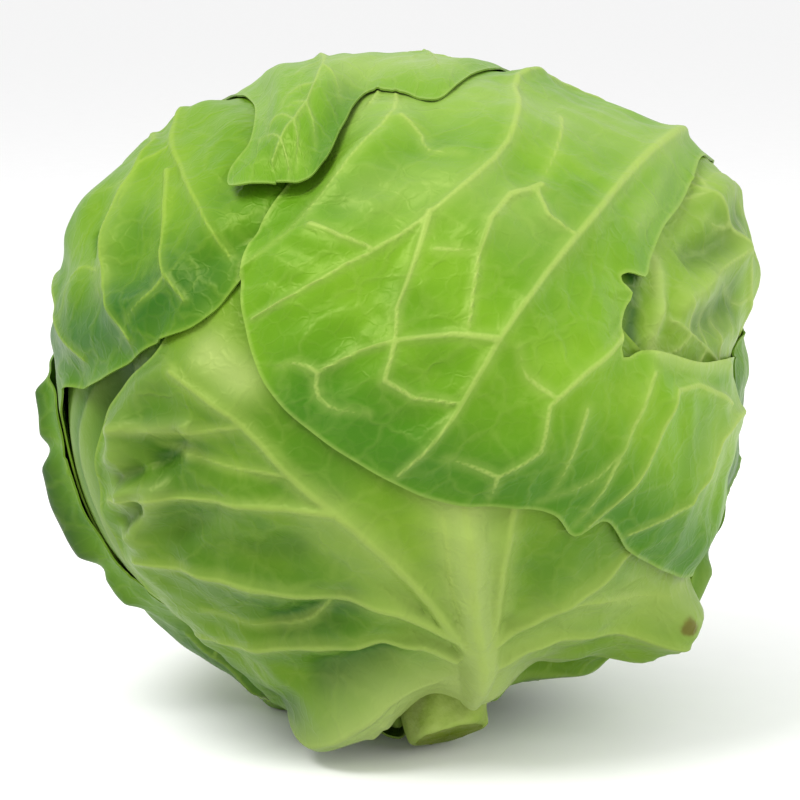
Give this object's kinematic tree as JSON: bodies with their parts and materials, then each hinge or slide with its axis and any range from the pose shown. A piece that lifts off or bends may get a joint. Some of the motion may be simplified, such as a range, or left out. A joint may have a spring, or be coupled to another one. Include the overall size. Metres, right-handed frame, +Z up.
{
  "type": "cabbage head",
  "caption": "Round head of green cabbage lying tilted on its foot, with veined wrapper leaves, one of them torn, over a packed heart and a short cut stem.",
  "frame": {"origin": "middle of the head's box in plan, on the surface it lies on", "axes": "+Z up, -Y towards the viewer of the picture, +X to that viewer's right and along the greatest width"},
  "size_m": [0.1828, 0.1754, 0.1696],
  "materials": {
    "heart_leaf": null,
    "stem": null,
    "inner_leaf": null,
    "front_leaf": null,
    "side_leaf": null,
    "over_leaf": null,
    "back_leaf": null,
    "crown_leaf": null
  },
  "bodies": {
    "root": {"heart": "heart_leaf", "stem": "stem", "leaf_right": "inner_leaf", "leaf_front": "front_leaf", "leaf_left": "side_leaf", "leaf_over": "over_leaf", "leaf_back_left": "back_leaf", "leaf_back_right": "back_leaf", "leaf_crown": "crown_leaf"}
  },
  "joints": []
}
